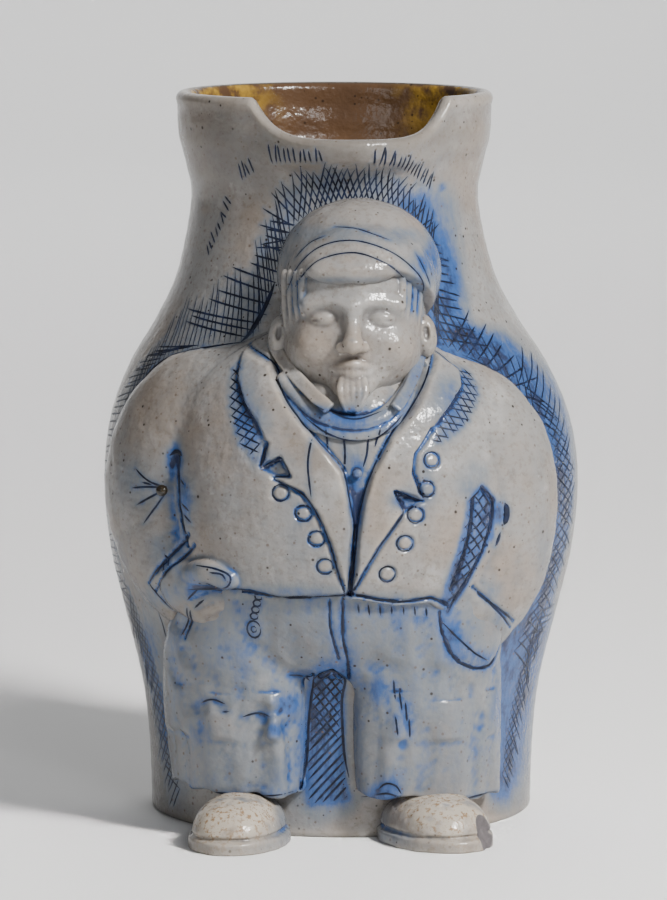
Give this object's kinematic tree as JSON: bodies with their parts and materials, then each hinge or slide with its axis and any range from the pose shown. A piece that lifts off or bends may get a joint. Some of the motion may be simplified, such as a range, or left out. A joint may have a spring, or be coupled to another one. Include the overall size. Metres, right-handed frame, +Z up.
{
  "type": "figural stoneware pitcher",
  "caption": "Salt-glazed stoneware pitcher with a pulled spout, a strap handle and a stout standing man in high relief on its front.",
  "frame": {"origin": "on the pot's axis, in the plane of its foot", "axes": "+Z up, -Y towards the spout and the man's face, +X to a viewer's right"},
  "size_m": [0.1772, 0.215, 0.265],
  "materials": {
    "stoneware": "glossy grey-tan salt glaze over stoneware, cobalt blue in the incised lines, brown slip inside"
  },
  "bodies": {
    "root": {"pitcher": "stoneware"}
  },
  "joints": []
}
